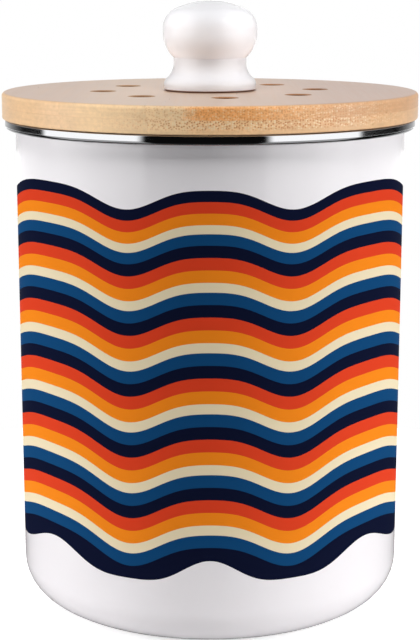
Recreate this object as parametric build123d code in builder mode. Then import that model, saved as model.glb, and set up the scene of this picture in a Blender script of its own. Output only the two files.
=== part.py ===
from build123d import *
from math import acos, asin, cos, degrees, radians, sin
import os

# Compost caddy: an enamelled steel pot with a vented bamboo lid, a ceramic knob
# and a charcoal filter that a bayonet cap holds under the lid.
# Millimetres, +Z up. The origin is the centre of the ring that the pot stands on,
# and the front of the caddy looks along -Y.

os.makedirs("parts", exist_ok=True)

# Pot
pot_diameter = 167.0
pot_wall = 1.0
wall_height = 206.75
base_corner_radius = 16.5
base_rise = 1.6
base_ring_width = 8.0
base_slope_width = 8.0
base_slope_radius = 10.0
lip_bend_radius = 1.0
hem_bend_radius = 0.6

# Rim band, rolled from thin stainless sheet round the pot's edge
rim_overhang = 4.4
rim_height = 4.1
rim_sheet = 0.5
rim_upper_round = 1.0
rim_lower_round = 1.5
rim_leg_gap = 0.4
rim_fit = 0.1

# Lid boards
lid_diameter = 178.0
upper_ply_thickness = 5.5
lower_ply_thickness = 5.5
lid_top_round = 1.6
lid_bottom_round = 1.0
lid_seat_gap = 0.3

# Vents
vent_diameter = 10.5
vent_circle_diameter = 92.0
vent_count = 8
vent_turn = 7.5
vent_chamfer = 0.5

# Plug ring under the lid
plug_clearance = 3.5
plug_width = 9.0
plug_depth = 13.0
plug_edge_round = 1.2
groove_depth = 2.6
groove_height = 5.2
groove_drop = 4.2

# Silicone seal
seal_fit = 0.1
seal_running_gap = 0.3
seal_body_proud = 0.6
fin_count = 3
fin_root = 0.9
fin_tip = 0.4
fin_lift = 0.8
fin_pitch = 1.5

# Filter holder
holder_fit = 0.4
holder_flange_thickness = 2.0
holder_flange_width = 7.6
skirt_wall = 3.0
gusset_count = 12
gusset_thickness = 1.6
gusset_reach = 4.5
gusset_height = 5.0

# Filter pad
pad_thickness = 10.0
pad_fit = 0.4
pad_head_room = 0.3
pad_edge_round = 1.0

# Filter cap
cap_fit = 0.4
cap_floor = 2.0
cap_wall = 1.8
cap_wall_height = 9.0
cap_seat_gap = 0.3
cap_edge_round = 0.6
finger_bar_length = 44.0
finger_bar_width = 6.0
finger_bar_height = 9.0
finger_bar_draft = 4.0
finger_bar_round = 1.2
slot_width = 4.0
slot_rim = 3.5
inner_slot_length = 11.0
outer_slot_length = 13.0
slot_ring_gap = 3.0
inner_slot_count = 18
outer_slot_count = 27

# Bayonet
lug_count = 3
lug_angle = 10.0
lug_height = 2.0
lug_reach = 2.0
lug_turn = 90.0
twist_angle = 25.0
track_fit = 0.3
track_side_angle = 1.0
track_depth_gap = 0.4

# Screws of the filter holder
holder_screw_count = 4
holder_screw_turn = 45.0
holder_screw_diameter = 3.0
holder_screw_bite = 5.0
holder_screw_point = 1.5
holder_screw_tip = 0.8
holder_head_diameter = 5.4
holder_head_height = 1.8
holder_cross_length = 3.0
holder_cross_width = 0.8
holder_cross_depth = 0.9
screw_hole_fit = 0.2

# Knob
knob_height = 37.85
knob_diameter = 40.4
knob_crown_radius = 36.0
knob_shoulder_radius = 9.4
knob_side_height = 1.8
knob_under_radius = 14.0
knob_neck_diameter = 31.2
knob_flare_radius = 8.0
knob_flare_angle = 49.0
knob_foot_diameter = 39.7
knob_foot_band = 1.2
knob_foot_round = 4.0
knob_foot_bottom_round = 1.2
knob_recess_diameter = 28.0
knob_recess_depth = 1.0
insert_diameter = 9.6
insert_length = 16.0
insert_fit = 0.2
insert_groove_count = 2
insert_groove_width = 1.5
insert_groove_depth = 0.5
insert_groove_pitch = 5.0

# Screw and washer of the knob
knob_screw_diameter = 4.9
knob_screw_length = 22.0
knob_head_diameter = 9.5
knob_head_height = 2.6
knob_cross_length = 5.0
knob_cross_width = 1.2
knob_cross_depth = 1.5
washer_diameter = 14.0
washer_thickness = 1.2
washer_hole_fit = 0.2
counterbore_fit = 0.5
counterbore_depth = 4.0
thread_fit = 0.05
lid_bore_fit = 0.35

# Radii and heights that follow from them
pot_radius = pot_diameter / 2
bore_radius = pot_radius - pot_wall
rim_radius = pot_radius + rim_overhang
rim_top = wall_height + rim_height
flange_underside = rim_top - rim_sheet - rim_fit - pot_wall
hem_radius = rim_radius - rim_sheet - rim_fit - pot_wall
hem_bottom = wall_height + rim_lower_round

lid_underside = rim_top + lid_seat_gap
glue_line = lid_underside + lower_ply_thickness
lid_top = glue_line + upper_ply_thickness

plug_radius = bore_radius - plug_clearance
recess_radius = plug_radius - plug_width
plug_bottom = lid_underside - plug_depth
groove_middle = lid_underside - groove_drop - groove_height / 2
groove_radius = plug_radius - groove_depth

holder_radius = recess_radius - holder_fit
skirt_radius = holder_radius - holder_flange_width
skirt_bore = skirt_radius - skirt_wall
flange_bottom = lid_underside - holder_flange_thickness
holder_screw_circle = (skirt_radius + holder_radius) / 2

pad_top = lid_underside - pad_head_room
pad_bottom = pad_top - pad_thickness
cap_bottom = pad_bottom - cap_floor
skirt_bottom = pad_bottom + cap_seat_gap
cap_radius = skirt_bore - cap_fit
cap_bore = cap_radius - cap_wall
pad_radius = cap_bore - pad_fit

track_middle = (skirt_bottom + flange_bottom) / 2
track_radius = cap_radius + lug_reach + track_depth_gap
track_height = lug_height + 2 * track_fit
entry_angle = lug_angle + 2 * track_side_angle

counterbore_top = lid_underside + counterbore_depth
washer_bottom = counterbore_top - washer_thickness
insert_bottom = lid_top + knob_recess_depth
holder_hole_radius = holder_screw_diameter / 2 + screw_hole_fit
lid_bore_radius = knob_screw_diameter / 2 + lid_bore_fit


def ring_sector(inner, outer, middle, sweep):
    """A piece of a flat ring, sweep degrees long, about the direction middle."""
    with BuildSketch() as sector:
        with BuildLine():
            outer_arc = CenterArc((0, 0), outer, middle - sweep / 2, sweep)
            inner_arc = CenterArc((0, 0), inner, middle - sweep / 2, sweep)
            Line(outer_arc @ 0, inner_arc @ 0)
            Line(outer_arc @ 1, inner_arc @ 1)
        make_face()
    return sector.sketch


# The vents go through both boards at the same places.
with BuildSketch() as vent_pattern:
    with PolarLocations(vent_circle_diameter / 2, vent_count, start_angle=vent_turn - 90):
        Circle(vent_diameter / 2)

# Pot: one drawn sheet, from the raised middle of its base to the hem under the rim band
with BuildPart() as body_shell:
    with BuildSketch(Plane.XZ):
        with BuildLine():
            slope_bottom = pot_radius - base_corner_radius - base_ring_width
            FilletPolyline(
                (0, base_rise),
                (slope_bottom - base_slope_width, base_rise),
                (slope_bottom, 0),
                (pot_radius, 0),
                (pot_radius, flange_underside),
                (hem_radius, flange_underside),
                (hem_radius, hem_bottom),
                radius=[
                    base_slope_radius,
                    base_slope_radius,
                    base_corner_radius,
                    lip_bend_radius,
                    hem_bend_radius,
                ],
            )
            offset(amount=pot_wall, side=Side.LEFT)
        make_face()
    revolve(axis=Axis.Z)

# Rim band: a thin C section that grips the hem
with BuildPart() as rim_band:
    with BuildSketch(Plane.XZ):
        with BuildLine():
            FilletPolyline(
                (bore_radius + rim_leg_gap, rim_top),
                (rim_radius, rim_top),
                (rim_radius, wall_height),
                (pot_radius + rim_leg_gap, wall_height),
                radius=[rim_upper_round, rim_lower_round],
            )
            offset(amount=rim_sheet, side=Side.RIGHT)
        make_face()
    revolve(axis=Axis.Z)

# Upper board of the lid
with BuildPart() as lid_upper_ply:
    with BuildSketch(Plane.XY.offset(glue_line)):
        Circle(lid_diameter / 2)
        Circle(lid_bore_radius, mode=Mode.SUBTRACT)
        add(vent_pattern.sketch, mode=Mode.SUBTRACT)
    extrude(amount=upper_ply_thickness)
    top_edges = lid_upper_ply.faces().sort_by(Axis.Z)[-1].edges()
    fillet(top_edges.sort_by(SortBy.RADIUS)[-1], lid_top_round)
    vent_edges = lid_upper_ply.faces().sort_by(Axis.Z)[-1].edges()
    chamfer(vent_edges.filter_by(lambda e: abs(e.radius - vent_diameter / 2) < 0.01), vent_chamfer)

# Lower board, with the counterbore that hides the knob's screw
with BuildPart() as lid_lower_ply:
    with BuildSketch(Plane.XY.offset(lid_underside)):
        Circle(lid_diameter / 2)
        Circle(lid_bore_radius, mode=Mode.SUBTRACT)
        add(vent_pattern.sketch, mode=Mode.SUBTRACT)
        with PolarLocations(holder_screw_circle, holder_screw_count, start_angle=holder_screw_turn):
            Circle(holder_hole_radius, mode=Mode.SUBTRACT)
    extrude(amount=lower_ply_thickness)
    bottom_edges = lid_lower_ply.faces().sort_by(Axis.Z)[0].edges()
    fillet(bottom_edges.sort_by(SortBy.RADIUS)[-1], lid_bottom_round)
    with BuildSketch(Plane.XY.offset(lid_underside)):
        Circle(washer_diameter / 2 + counterbore_fit)
    extrude(amount=counterbore_depth, mode=Mode.SUBTRACT)

# Plug ring, glued under the lower board
with BuildPart() as lid_plug:
    with BuildSketch(Plane.XY.offset(plug_bottom)):
        Circle(plug_radius)
        Circle(recess_radius, mode=Mode.SUBTRACT)
    extrude(amount=plug_depth)
    fillet(lid_plug.faces().sort_by(Axis.Z)[0].edges(), plug_edge_round)
    with BuildSketch(Plane.XY.offset(groove_middle - groove_height / 2)):
        Circle(plug_radius + groove_depth)
        Circle(groove_radius, mode=Mode.SUBTRACT)
    extrude(amount=groove_height, mode=Mode.SUBTRACT)

# Seal: a band in the groove, and fins that lean up against the pot's bore
with BuildPart() as seal_ring:
    with BuildSketch(Plane.XZ):
        seal_body_radius = plug_radius + seal_body_proud
        seal_bore = groove_radius + seal_fit
        with Locations(((seal_bore + seal_body_radius) / 2, groove_middle)):
            Rectangle(seal_body_radius - seal_bore, groove_height - 2 * seal_fit)
        seal_radius = bore_radius - seal_running_gap
        for fin in range(fin_count):
            fin_middle = groove_middle + (fin - (fin_count - 1) / 2) * fin_pitch
            fin_bottom = fin_middle - (fin_root + fin_lift) / 2
            with BuildLine():
                Polyline(
                    (seal_bore, fin_bottom),
                    (seal_body_radius, fin_bottom),
                    (seal_radius, fin_bottom + fin_lift),
                    (seal_radius, fin_bottom + fin_lift + fin_tip),
                    (seal_body_radius, fin_bottom + fin_root),
                    (seal_bore, fin_bottom + fin_root),
                    close=True,
                )
            make_face()
    revolve(axis=Axis.Z)

# Stiffener between the holder's flange and skirt
with BuildPart() as gusset:
    with BuildSketch(Plane.XZ):
        with BuildLine():
            Polyline(
                (skirt_radius - skirt_wall / 3, flange_bottom),
                (skirt_radius + gusset_reach, flange_bottom),
                (skirt_radius, flange_bottom - gusset_height),
                (skirt_radius - skirt_wall / 3, flange_bottom - gusset_height),
                close=True,
            )
        make_face()
    extrude(amount=gusset_thickness / 2, both=True)

# Bayonet tracks: each has an entry from below and a level run that the lug turns into
track_run = ring_sector(
    skirt_bore - skirt_wall,
    track_radius,
    lug_turn + twist_angle / 2,
    entry_angle + twist_angle,
)
track_entry = ring_sector(skirt_bore - skirt_wall, track_radius, lug_turn + twist_angle, entry_angle)

# Filter holder: a moulded ring with a flange, a skirt and the three tracks
with BuildPart() as filter_holder:
    with BuildSketch(Plane.XY.offset(flange_bottom)):
        Circle(holder_radius)
        Circle(skirt_bore, mode=Mode.SUBTRACT)
        with PolarLocations(holder_screw_circle, holder_screw_count, start_angle=holder_screw_turn):
            Circle(holder_hole_radius, mode=Mode.SUBTRACT)
    extrude(amount=holder_flange_thickness)
    with BuildSketch(Plane.XY.offset(skirt_bottom)):
        Circle(skirt_radius)
        Circle(skirt_bore, mode=Mode.SUBTRACT)
    extrude(amount=flange_bottom - skirt_bottom)
    with PolarLocations(0, gusset_count):
        add(gusset.part)
    with BuildSketch(Plane.XY.offset(track_middle - track_height / 2)):
        with PolarLocations(0, lug_count):
            add(track_run)
    extrude(amount=track_height, mode=Mode.SUBTRACT)
    with BuildSketch(Plane.XY.offset(skirt_bottom - cap_floor)):
        with PolarLocations(0, lug_count):
            add(track_entry)
    extrude(amount=track_middle - skirt_bottom + cap_floor, mode=Mode.SUBTRACT)

# Wood screws that hold the filter holder to the lower board
with BuildPart() as filter_holder_screws:
    with BuildSketch(Plane.XY.offset(flange_bottom)):
        with PolarLocations(holder_screw_circle, holder_screw_count, start_angle=holder_screw_turn):
            Circle(holder_screw_diameter / 2)
    extrude(amount=holder_flange_thickness + holder_screw_bite)
    points = filter_holder_screws.faces().filter_by(Plane.XY).group_by(Axis.Z)[-1]
    chamfer(points.edges(), holder_screw_point, holder_screw_tip)
    with BuildSketch(Plane.XY.offset(flange_bottom)):
        with PolarLocations(holder_screw_circle, holder_screw_count, start_angle=holder_screw_turn):
            Circle(holder_head_diameter / 2)
    extrude(amount=-holder_head_height)
    heads = filter_holder_screws.faces().filter_by(Plane.XY).group_by(Axis.Z)[0]
    chamfer(heads.edges(), holder_head_height / 2)
    with BuildSketch(Plane.XY.offset(flange_bottom - holder_head_height)):
        with PolarLocations(holder_screw_circle, holder_screw_count, start_angle=holder_screw_turn):
            Rectangle(holder_cross_length, holder_cross_width)
            Rectangle(holder_cross_width, holder_cross_length)
    extrude(amount=holder_cross_depth, mode=Mode.SUBTRACT)

# Charcoal pad
with BuildPart() as filter_pad:
    with BuildSketch(Plane.XY.offset(pad_bottom)):
        Circle(pad_radius)
    extrude(amount=pad_thickness)
    fillet(filter_pad.edges().filter_by(GeomType.CIRCLE), pad_edge_round)

# Filter cap: a slotted tray that carries the pad, with lugs for the tracks
with BuildPart() as filter_cap:
    outer_slot_middle = cap_bore - slot_rim - outer_slot_length / 2
    inner_slot_middle = outer_slot_middle - outer_slot_length / 2 - slot_ring_gap - inner_slot_length / 2
    with BuildSketch(Plane.XY.offset(cap_bottom)):
        Circle(skirt_radius)
        with PolarLocations(outer_slot_middle, outer_slot_count):
            SlotOverall(outer_slot_length, slot_width, mode=Mode.SUBTRACT)
        with PolarLocations(inner_slot_middle, inner_slot_count):
            SlotOverall(inner_slot_length, slot_width, mode=Mode.SUBTRACT)
    extrude(amount=cap_floor)
    floor_edges = filter_cap.faces().sort_by(Axis.Z)[0].edges().filter_by(GeomType.CIRCLE)
    fillet(floor_edges.sort_by(SortBy.RADIUS)[-1], cap_edge_round)
    with BuildSketch(Plane.XY.offset(pad_bottom)):
        Circle(cap_radius)
        Circle(cap_bore, mode=Mode.SUBTRACT)
    extrude(amount=cap_wall_height)
    lug = ring_sector(cap_radius - cap_wall / 2, cap_radius + lug_reach, lug_turn, lug_angle)
    with BuildSketch(Plane.XY.offset(track_middle - lug_height / 2)):
        with PolarLocations(0, lug_count):
            add(lug)
    extrude(amount=lug_height)
    with BuildSketch(Plane.XY.offset(cap_bottom)):
        SlotOverall(finger_bar_length, finger_bar_width)
    extrude(amount=-finger_bar_height, taper=finger_bar_draft)
    bar_edges = filter_cap.faces().sort_by(Axis.Z)[0].edges()
    fillet(bar_edges, finger_bar_round)

# Knob: the crown, shoulder and underside of the bulb are arcs, then a neck and a flared foot
with BuildPart() as knob:
    knob_radius = knob_diameter / 2
    knob_top = lid_top + knob_height
    crown_lean = degrees(
        asin((knob_radius - knob_shoulder_radius) / (knob_crown_radius - knob_shoulder_radius))
    )
    under_radius = knob_radius - knob_under_radius
    under_turn = degrees(acos((knob_neck_diameter / 2 - under_radius) / knob_under_radius))
    foot_radius = knob_foot_diameter / 2
    flare_lean = radians(knob_flare_angle)
    flare_rise = (knob_flare_radius + knob_foot_round) * (1 - cos(flare_lean))
    foot_slope = (foot_radius - knob_neck_diameter / 2 - flare_rise) / sin(flare_lean)
    socket_radius = insert_diameter / 2 + insert_fit
    socket_top = insert_bottom + insert_length + insert_fit
    with BuildSketch(Plane.XZ):
        with BuildLine():
            crown = JernArc((0, knob_top), (1, 0), knob_crown_radius, -crown_lean)
            shoulder = JernArc(crown @ 1, crown % 1, knob_shoulder_radius, crown_lean - 90)
            side = Line(shoulder @ 1, shoulder @ 1 - (0, knob_side_height))
            bulb_under = JernArc(side @ 1, side % 1, knob_under_radius, -under_turn)
            foot_base = (foot_radius - knob_foot_bottom_round, lid_top)
            foot_edge = JernArc(foot_base, (1, 0), knob_foot_bottom_round, 90)
            foot_band = Line(foot_edge @ 1, foot_edge @ 1 + (0, knob_foot_band))
            foot_shoulder = JernArc(foot_band @ 1, (0, 1), knob_foot_round, knob_flare_angle)
            slope = PolarLine(foot_shoulder @ 1, foot_slope, 90 + knob_flare_angle)
            flare = JernArc(slope @ 1, slope % 1, knob_flare_radius, -knob_flare_angle)
            Line(flare @ 1, bulb_under @ 1)
            Polyline(
                foot_base,
                (knob_recess_diameter / 2, lid_top),
                (knob_recess_diameter / 2, insert_bottom),
                (socket_radius, insert_bottom),
                (socket_radius, socket_top),
                (0, socket_top),
                (0, knob_top),
            )
        make_face()
    revolve(axis=Axis.Z)

# Brass insert, cemented in the knob's socket by two grooves
with BuildPart() as knob_insert:
    with BuildSketch(Plane.XY.offset(insert_bottom)):
        Circle(insert_diameter / 2)
        Circle(knob_screw_diameter / 2 + thread_fit, mode=Mode.SUBTRACT)
    extrude(amount=insert_length)
    with BuildSketch(Plane.XZ):
        with Locations((insert_diameter / 2, insert_bottom + insert_length / 2)):
            with GridLocations(0, insert_groove_pitch, 1, insert_groove_count):
                Rectangle(2 * insert_groove_depth, insert_groove_width)
    revolve(axis=Axis.Z, mode=Mode.SUBTRACT)

# Washer that spreads the screw's pull over the lid
with BuildPart() as knob_washer:
    with BuildSketch(Plane.XY.offset(washer_bottom)):
        Circle(washer_diameter / 2)
        Circle(knob_screw_diameter / 2 + washer_hole_fit, mode=Mode.SUBTRACT)
    extrude(amount=washer_thickness)

# Pan head screw up through the lid into the insert
with BuildPart() as knob_screw:
    with BuildSketch(Plane.XY.offset(washer_bottom)):
        Circle(knob_screw_diameter / 2)
    extrude(amount=knob_screw_length)
    chamfer(knob_screw.faces().sort_by(Axis.Z)[-1].edges(), knob_screw_diameter / 8)
    with BuildSketch(Plane.XY.offset(washer_bottom)):
        Circle(knob_head_diameter / 2)
    extrude(amount=-knob_head_height)
    chamfer(knob_screw.faces().sort_by(Axis.Z)[0].edges(), knob_head_height / 2)
    with BuildSketch(Plane.XY.offset(washer_bottom - knob_head_height)):
        Rectangle(knob_cross_length, knob_cross_width)
        Rectangle(knob_cross_width, knob_cross_length)
    extrude(amount=knob_cross_depth, mode=Mode.SUBTRACT)

body_shell.part.label = "body_shell"
rim_band.part.label = "rim_band"
lid_upper_ply.part.label = "lid_upper_ply"
lid_lower_ply.part.label = "lid_lower_ply"
lid_plug.part.label = "lid_plug"
seal_ring.part.label = "seal_ring"
filter_holder.part.label = "filter_holder"
filter_holder_screws.part.label = "filter_holder_screws"
filter_pad.part.label = "filter_pad"
filter_cap.part.label = "filter_cap"
knob.part.label = "knob"
knob_insert.part.label = "knob_insert"
knob_washer.part.label = "knob_washer"
knob_screw.part.label = "knob_screw"

export_step(body_shell.part, "parts/body_shell.step")
export_step(rim_band.part, "parts/rim_band.step")
export_step(lid_upper_ply.part, "parts/lid_upper_ply.step")
export_step(lid_lower_ply.part, "parts/lid_lower_ply.step")
export_step(lid_plug.part, "parts/lid_plug.step")
export_step(seal_ring.part, "parts/seal_ring.step")
export_step(filter_holder.part, "parts/filter_holder.step")
export_step(filter_holder_screws.part, "parts/filter_holder_screws.step")
export_step(filter_pad.part, "parts/filter_pad.step")
export_step(filter_cap.part, "parts/filter_cap.step")
export_step(knob.part, "parts/knob.step")
export_step(knob_insert.part, "parts/knob_insert.step")
export_step(knob_washer.part, "parts/knob_washer.step")
export_step(knob_screw.part, "parts/knob_screw.step")
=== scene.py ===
"""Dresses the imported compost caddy: an enamelled pot with printed waves, a bamboo lid and its filter."""

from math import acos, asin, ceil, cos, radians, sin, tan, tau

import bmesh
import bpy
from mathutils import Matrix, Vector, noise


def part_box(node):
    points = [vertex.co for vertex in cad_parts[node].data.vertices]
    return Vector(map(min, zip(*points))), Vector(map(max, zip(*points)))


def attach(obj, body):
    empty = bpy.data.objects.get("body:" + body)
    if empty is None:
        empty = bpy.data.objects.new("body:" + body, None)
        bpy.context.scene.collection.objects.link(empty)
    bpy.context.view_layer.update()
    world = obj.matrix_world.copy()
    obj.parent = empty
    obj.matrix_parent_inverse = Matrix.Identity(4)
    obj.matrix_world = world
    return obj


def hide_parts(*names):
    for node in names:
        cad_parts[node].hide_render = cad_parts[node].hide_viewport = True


bl_info = {
    "name": "Compost Caddy",
    "version": (1, 0, 0),
    "blender": (4, 5, 0),
    "location": "3D Viewport > Sidebar > Caddy",
    "description": "Builds the finished surfaces of a compost caddy round its CAD frame",
    "category": "Add Mesh",
}

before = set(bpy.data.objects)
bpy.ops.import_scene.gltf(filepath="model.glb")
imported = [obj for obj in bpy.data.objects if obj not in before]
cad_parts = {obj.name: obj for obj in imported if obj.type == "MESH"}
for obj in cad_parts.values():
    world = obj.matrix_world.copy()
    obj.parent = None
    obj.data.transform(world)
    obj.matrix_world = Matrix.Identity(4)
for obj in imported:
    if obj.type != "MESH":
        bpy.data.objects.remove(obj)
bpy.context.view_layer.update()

# Metres, in the CAD frame: +Z up, and the front of the caddy looks along -Y.
MM = 0.001
ORIGIN = Vector((0, 0, 0))
UP = Vector((0, 0, 1))
TURN_IN_SECTION = Vector((0, -1, 0))
WELD = 0.001 * MM
ARC_STEP = radians(9)
SHARP_ANGLE = radians(32)

# The pot's material slots: its enamel, and then the inks in their order in a repeat of the print
INKS = ("navy", "red", "orange", "cream", "blue")
ENAMEL, FIRST_INK = 0, 1


def linear(hex_code):
    """Turns an sRGB hex colour into the linear RGBA that nodes take."""
    knee, slope, lift, power = 0.04045, 12.92, 0.055, 2.4
    channels = [int(hex_code[start:start + 2], 16) / 255 for start in (1, 3, 5)]
    return [c / slope if c <= knee else ((c + lift) / (1 + lift)) ** power for c in channels] + [1.0]


def length(name, description, default):
    """A length in metres."""
    return bpy.props.FloatProperty(
        name=name, description=description, default=default, precision=4, subtype="DISTANCE", unit="LENGTH"
    )


def turn(name, description, default):
    """An angle, given in degrees."""
    return bpy.props.FloatProperty(
        name=name, description=description, default=radians(default), subtype="ANGLE", unit="ROTATION"
    )


def count(name, description, default):
    """How many of something there are."""
    return bpy.props.IntProperty(name=name, description=description, default=default, min=1)


def colour(name, description, hex_code):
    """A colour, given as an sRGB hex value."""
    return bpy.props.FloatVectorProperty(
        name=name, description=description, default=linear(hex_code), size=4, min=0, max=1, subtype="COLOR"
    )


class CaddyPot(bpy.types.PropertyGroup):
    diameter: length("Diameter", "Across the outside of the pot's wall", 167.0 * MM)
    wall: length("Wall", "Thickness of the enamelled sheet", 1.0 * MM)
    base_corner: length("Base corner", "Radius between the wall and the base", 16.5 * MM)
    base_rise: length("Base rise", "How far the middle of the base stands off the table", 1.6 * MM)
    base_ring: length("Base ring", "Width of the ring that the pot stands on", 8.0 * MM)
    base_slope: length("Base slope", "Width of the slope up to the middle of the base", 8.0 * MM)
    slope_round: length("Slope round", "Radius at both ends of that slope", 10.0 * MM)
    lip_round: length("Lip round", "Radius where the wall turns out under the rim band", 1.0 * MM)
    hem_round: length("Hem round", "Radius where the lip turns down into the hem", 0.6 * MM)
    rim_sheet: length("Rim sheet", "Thickness of the stainless band", 0.5 * MM)
    rim_fit: length("Rim fit", "Gap between the band and the sheet that it grips", 0.1 * MM)
    rim_leg_gap: length("Rim leg gap", "Gap between the band's two edges and the wall", 0.4 * MM)
    rim_upper_round: length("Rim upper round", "Radius of the band's upper edge", 0.6 * MM)
    rim_lower_round: length("Rim lower round", "Radius of the band's lower edge", 1.5 * MM)


class CaddyPrint(bpy.types.PropertyGroup):
    top_crest: length("Top crest", "Height of the first band's crest above the table", 189.4 * MM)
    pitch: length("Pitch", "Height of the lowest repeat of five bands", 25.4 * MM)
    squeeze: length("Squeeze", "How much less the top repeat is high; each one below halves it", 4.0 * MM)
    last_band: length("Last band", "Height of the last band at its crest", 5.6 * MM)
    swing: length("Swing", "Half the height of the topmost wave", 4.1 * MM)
    swing_growth: bpy.props.FloatProperty(
        name="Swing growth", description="Metres that the swing gains for each metre down", default=0.0062
    )
    flatness: length("Flatness", "How much the crests are broadened", 0.8 * MM)
    last_swing: length("Last swing", "Half the height of the print's lower edge", 4.85 * MM)
    last_flatness: length("Last flatness", "Broadening of that edge; below zero, of its troughs", -1.2 * MM)
    repeats: count("Repeats", "How often the five bands follow each other", 6)
    waves: count("Waves", "Crests round the pot", 6)
    side_stretch: turn("Side stretch", "Phase by which the waves are longer at the sides", 54)
    shares: bpy.props.FloatVectorProperty(
        name="Shares", description="Each band's part of a repeat, from the top", size=5,
        default=(0.205, 0.21, 0.21, 0.165, 0.21),
    )
    navy: colour("Navy", "First ink of each repeat, and the last band", "#0E132A")
    red: colour("Red", "Second ink", "#D33F23")
    orange: colour("Orange", "Third ink", "#EA831D")
    cream: colour("Cream", "Fourth ink", "#E2D3B2")
    blue: colour("Blue", "Fifth ink", "#11426F")


class CaddyLid(bpy.types.PropertyGroup):
    top_round: length("Top round", "Radius of the lid's upper edge", 1.6 * MM)
    bottom_round: length("Bottom round", "Radius of the lid's lower edge", 0.5 * MM)
    bore: length("Bore", "Diameter of the hole for the knob's screw", 5.6 * MM)
    counterbore: length("Counterbore", "Diameter of the pocket for the washer", 15.0 * MM)
    counterbore_depth: length("Counterbore depth", "Depth of that pocket", 4.0 * MM)
    vent: length("Vent", "Diameter of one vent", 10.5 * MM)
    vent_circle: length("Vent circle", "Diameter of the ring of vents", 92.0 * MM)
    vent_count: count("Vents", "Number of vents", 8)
    vent_turn: turn("Vent turn", "Turn of the first vent from the front", 7.5)
    vent_chamfer: length("Vent chamfer", "Width of the chamfer round each vent", 0.5 * MM)
    pilot: length("Pilot", "Diameter of the holes for the holder's screws", 3.4 * MM)
    pilot_circle: length("Pilot circle", "Diameter of the ring of those holes", 131.6 * MM)
    pilot_count: count("Pilots", "Number of those holes", 4)
    pilot_turn: turn("Pilot turn", "Turn of the first of them from +X", 45)
    plug_width: length("Plug width", "Width of the ring under the lid", 9.0 * MM)
    plug_round: length("Plug round", "Radius of that ring's lower edges", 1.2 * MM)
    groove_depth: length("Groove depth", "Depth of the groove for the seal", 2.6 * MM)
    groove_height: length("Groove height", "Height of that groove", 5.2 * MM)
    groove_drop: length("Groove drop", "Distance from the lid down to that groove", 4.2 * MM)


class CaddySeal(bpy.types.PropertyGroup):
    fit: length("Fit", "Gap between the seal and its groove", 0.1 * MM)
    body_proud: length("Body proud", "How far the seal's band stands out of the groove", 0.6 * MM)
    fins: count("Fins", "Number of fins", 3)
    fin_root: length("Fin root", "Thickness of a fin where it leaves the band", 0.9 * MM)
    fin_tip: length("Fin tip", "Thickness of a fin at its edge", 0.4 * MM)
    fin_lift: length("Fin lift", "How far a fin leans up", 0.8 * MM)
    fin_pitch: length("Fin pitch", "Distance between fins", 1.5 * MM)


class CaddyKnob(bpy.types.PropertyGroup):
    crown: length("Crown", "Radius of the knob's crown", 36.0 * MM)
    shoulder: length("Shoulder", "Radius of its shoulder", 9.4 * MM)
    side: length("Side", "Height of the upright part of the bulb", 1.8 * MM)
    under: length("Under", "Radius of the bulb's underside", 14.0 * MM)
    neck: length("Neck", "Diameter of the neck", 31.2 * MM)
    flare: length("Flare", "Radius where the neck spreads into the foot", 8.0 * MM)
    flare_turn: turn("Flare turn", "Angle through which it spreads", 49)
    foot: length("Foot", "Diameter of the foot", 39.7 * MM)
    foot_round: length("Foot round", "Radius of the foot's upper edge", 4.0 * MM)
    foot_band: length("Foot band", "Height of the foot's upright edge", 1.2 * MM)
    foot_bottom_round: length("Foot bottom round", "Radius of its lower edge", 1.2 * MM)
    recess: length("Recess", "Diameter of the hollow under the foot", 28.0 * MM)
    recess_depth: length("Recess depth", "Depth of that hollow", 1.0 * MM)
    socket: length("Socket", "Diameter of the hole for the brass insert", 10.0 * MM)
    socket_depth: length("Socket depth", "Depth of that hole", 16.2 * MM)


class CaddyFinish(bpy.types.PropertyGroup):
    enamel: colour("Enamel", "White vitreous enamel", "#EDEAED")
    rim: colour("Rim", "Polished stainless steel", "#D9DADC")
    bamboo_pale: colour("Pale bamboo", "Palest strips of the boards", "#FDD9AA")
    # This colour is also painted as shade at both ends of the lid's edge.
    bamboo_dark_and_shade: colour("Dark bamboo", "Darkest strips, and the shade painted at the lid's ends", "#D6A87F")
    bamboo_amber: colour("Amber bamboo", "The steamed strip in the middle of the upper board", "#FAB26E")
    bamboo_fibre: colour("Bamboo fibre", "Fibre bundles in the end grain", "#C67437")
    bamboo_core: colour("Bamboo core", "Pale pith between the fibre bundles", "#FBE6C4")
    # Painted sheen: this pale colour is mixed into the faces that look up.
    bamboo_painted_sheen: colour("Bamboo top sheen", "Pale sheen painted onto the top", "#BFA195")
    # Painted shade: this brown darkens the vents' walls and chamfers.
    bamboo_vent_shade: colour("Bamboo vent shade", "Brown shade painted into the vents' walls", "#8C5629")
    glaze: colour("Glaze", "White glaze of the knob", "#F7F6FC")
    # Painted shadow: this dark colour lies round the knob's foot where it meets the lid.
    knob_foot_shadow: colour("Knob foot shadow", "Contact shadow painted round the knob's foot", "#7A5546")
    silicone: colour("Silicone", "Seal", "#DCDBD6")
    plastic: colour("Plastic", "Moulded filter holder and cap", "#E1DED6")
    brass: colour("Brass", "Insert", "#C7A250")
    zinc: colour("Zinc", "Screws and washer", "#B4B6BA")
    charcoal: colour("Charcoal", "Filter pad", "#1B1B1C")


class CaddyStage(bpy.types.PropertyGroup):
    distance: length("Camera distance", "From the caddy's axis to the camera", 708.4 * MM)
    height: length("Camera height", "Above the table", 269.7 * MM)
    pitch: turn("Camera pitch", "How far the camera looks down", 11.845)
    lens: bpy.props.FloatProperty(
        name="Lens", description="Focal length in mm", default=91.93, subtype="DISTANCE_CAMERA"
    )
    floor: length("Floor", "Radius of the floor", 0.28)
    floor_colour: colour("Floor colour", "Pale floor", "#F2F2F2")


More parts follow.
